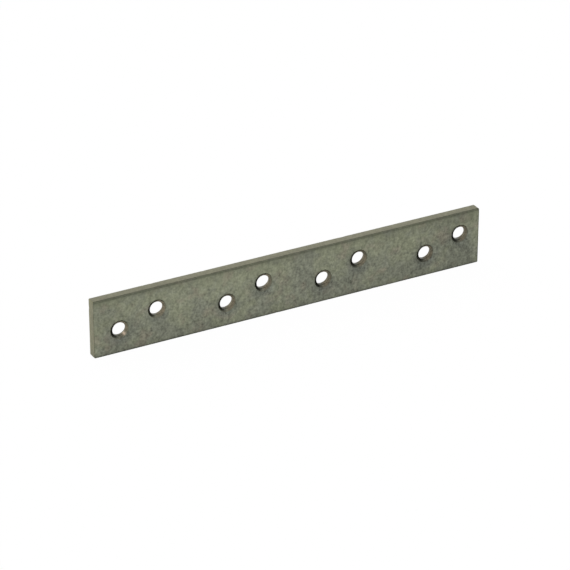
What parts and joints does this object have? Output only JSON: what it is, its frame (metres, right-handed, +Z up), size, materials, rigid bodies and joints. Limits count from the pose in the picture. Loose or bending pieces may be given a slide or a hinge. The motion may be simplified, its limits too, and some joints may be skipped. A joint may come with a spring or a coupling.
{
  "type": "mending plate",
  "caption": "Flat steel mending plate with two staggered rows of screw holes, for bridging and strengthening a joint between timbers.",
  "frame": {"origin": "middle of the plate's footprint, at the bottom of its lower long edge", "axes": "+X along the plate's length, +Z up across its width, +Y through its thickness from the plain side, which lies on the timber, to the countersunk side, which the screws enter"},
  "size_m": [0.2032, 0.0048, 0.0286],
  "materials": {
    "plate_steel": "matte"
  },
  "bodies": {
    "root": {"mending_plate": "plate_steel"}
  },
  "joints": []
}
